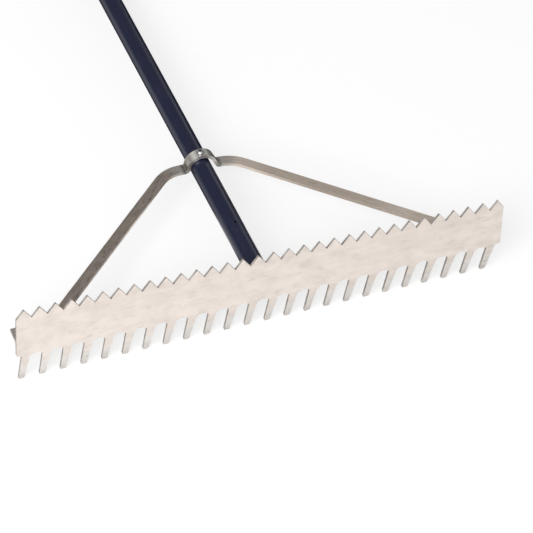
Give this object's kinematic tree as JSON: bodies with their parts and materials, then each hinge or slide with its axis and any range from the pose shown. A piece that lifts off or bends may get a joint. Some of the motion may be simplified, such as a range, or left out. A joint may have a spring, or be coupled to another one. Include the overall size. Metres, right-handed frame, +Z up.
{
  "type": "field grooming rake",
  "caption": "Two-sided aluminium field rake: saw teeth above, bent tines below, a rear flange, a tube handle and a flat-bar brace bolted over it.",
  "frame": {"origin": "on the floor, under the middle of the whole rake's bounding box", "axes": "+Z up with the rake lying on its tine tips and on the far end of its handle, +Y from the head towards the handle's far end, +X along the head"},
  "size_m": [0.9112, 1.8464, 0.1735],
  "materials": {
    "head": "bright mill finish with faint drawing lines",
    "brace": "mill finish, slightly dull, with faint marks from bending",
    "handle": "dark navy powder coat over aluminium tube",
    "hardware": "bright zinc plate",
    "pin": "dark spring steel",
    "core": "plain turned hardwood",
    "grip": "matt black vinyl",
    "cap": "matt black"
  },
  "bodies": {
    "root": {"toothed_head": "head", "brace": "brace", "handle_tube": "handle", "handle_core": "core", "core_pin": "pin", "grip_sleeve": "grip", "end_cap": "cap", "handle_bolt": "hardware", "handle_washer_top": "hardware", "handle_washer_bottom": "hardware", "handle_nut": "hardware", "saddle_bolt": "hardware", "saddle_washer_top": "hardware", "saddle_washer_bottom": "hardware", "saddle_nut": "hardware", "foot_bolt_left": "hardware", "foot_washer_top_left": "hardware", "foot_washer_bottom_left": "hardware", "foot_nut_left": "hardware", "foot_bolt_right": "hardware", "foot_washer_top_right": "hardware", "foot_washer_bottom_right": "hardware", "foot_nut_right": "hardware"}
  },
  "joints": []
}
